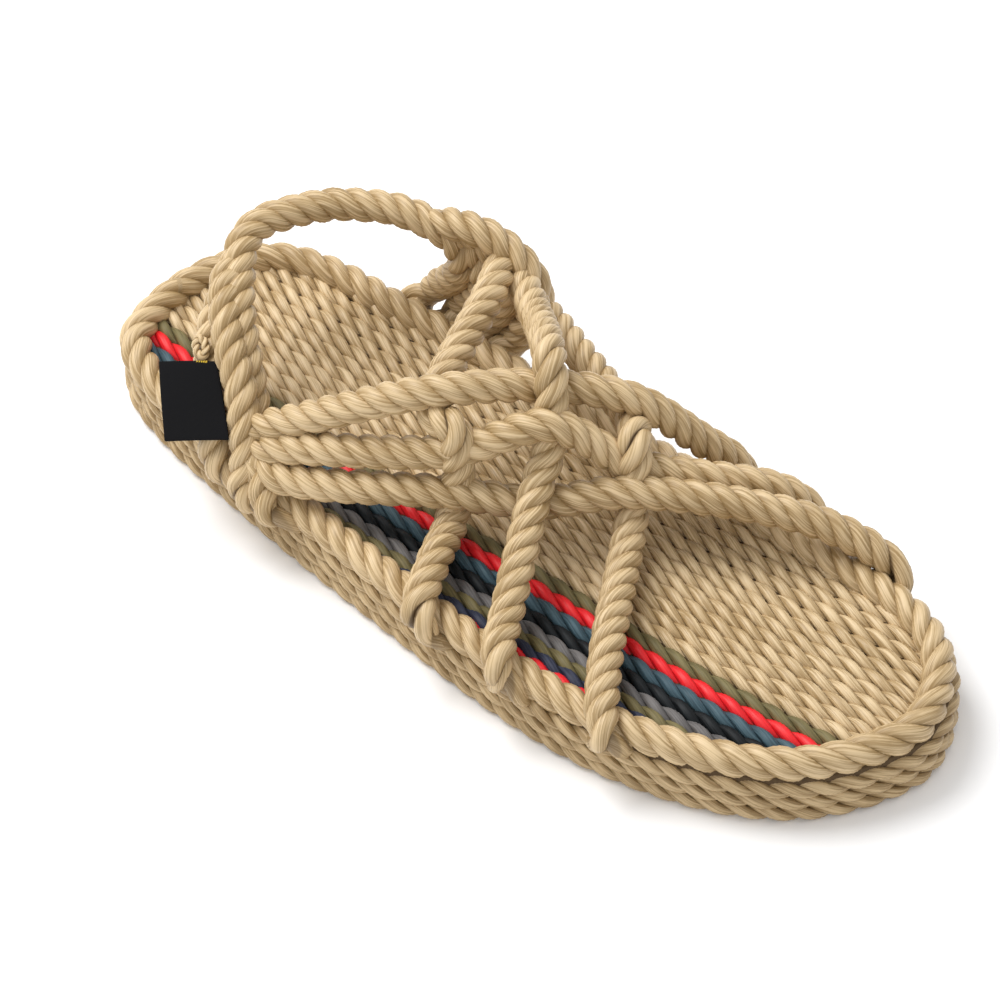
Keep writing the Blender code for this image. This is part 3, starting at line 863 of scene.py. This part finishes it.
def makeLabel():
    corner = {}
    for name, (x, y, z) in labelCorners.items():
        corner[name] = place(x, y, z * upperSize["heelLoop"]) + shift
    across = (corner["topFront"] - corner["topBack"]).normalized()
    lowMiddle = (corner["lowBack"] + corner["lowFront"]) / 2
    topMiddle = (corner["topBack"] + corner["topFront"]) / 2
    down = (lowMiddle - topMiddle).normalized()
    face = down.cross(across).normalized()
    held = corner["topBack"].lerp(corner["topFront"], labelSize["held"])
    makeTab(corner, face)
    makeThread(held, across, down, face)
    makeLabelCord(held, across, down)


makeSole()
makePad()
makeRim()
makeBed()
makeUpper()
makeLabel()
print("pieces made")


# Floor, light and camera; each lamp has its spot, size and power
studio = {
    "cameraSpot": (0.6845, 0.6171, 0.9870),
    "aim": (0.002, -0.006, 0.020),
    "lens": 176.0,
    "sensor": 36.0,
    "floor": (0.95, 0.95, 0.955, 1),
    "floorSize": 3.0,
    "world": 0.76,
    "lamps": {
        "skyPanel": ((0.10, -0.80, 1.20), 1.00, 19.0),
        "frontPanel": ((1.2, 0.5, 0.9), 1.2, 2.0),
    },
}


def makeFloor():
    shape = bmesh.new()
    bmesh.ops.create_grid(shape, x_segments=1, y_segments=1, size=studio["floorSize"])
    mesh = bpy.data.meshes.new("floor")
    shape.to_mesh(mesh)
    shape.free()
    finish = Finish("paleFloor")
    grain = finish.noise(finish.ownSpot(), 6.0, 2.0)
    finish.surface(Base_Color=studio["floor"], Roughness=grain * 0.05 + 0.75)
    mesh.materials.append(finish.material)
    floor = bpy.data.objects.new("floor", mesh)
    bpy.context.scene.collection.objects.link(floor)


def addLamp(name, spot, size, power):
    lamp = bpy.data.lights.new(name, "AREA")
    lamp.shape = "DISK"
    lamp.size = size
    lamp.energy = power
    light = bpy.data.objects.new(name, lamp)
    light.location = spot
    light.rotation_euler = (-Vector(spot)).to_track_quat("-Z", "Y").to_euler()
    bpy.context.scene.collection.objects.link(light)


def makeCamera():
    camera = bpy.data.cameras.new("camera")
    camera.lens = studio["lens"]
    camera.sensor_width = studio["sensor"]
    camera.clip_start = 0.05
    eye = bpy.data.objects.new("camera", camera)
    spot = Vector(studio["cameraSpot"]) + shift
    aim = Vector(studio["aim"]) + shift
    eye.location = spot
    eye.rotation_euler = (aim - spot).to_track_quat("-Z", "Y").to_euler()
    bpy.context.scene.collection.objects.link(eye)
    bpy.context.scene.camera = eye


def makeWorld():
    world = bpy.data.worlds.new("studio")
    world.use_nodes = True
    background = world.node_tree.nodes["Background"]
    background.inputs["Color"].default_value = (1.0, 1.0, 1.0, 1)
    background.inputs["Strength"].default_value = studio["world"]
    bpy.context.scene.world = world


makeFloor()
for lampName, (lampSpot, lampSize, lampPower) in studio["lamps"].items():
    addLamp(lampName, lampSpot, lampSize, lampPower)
makeCamera()
makeWorld()
bpy.context.scene.view_settings.view_transform = "Standard"

print("scene ready")
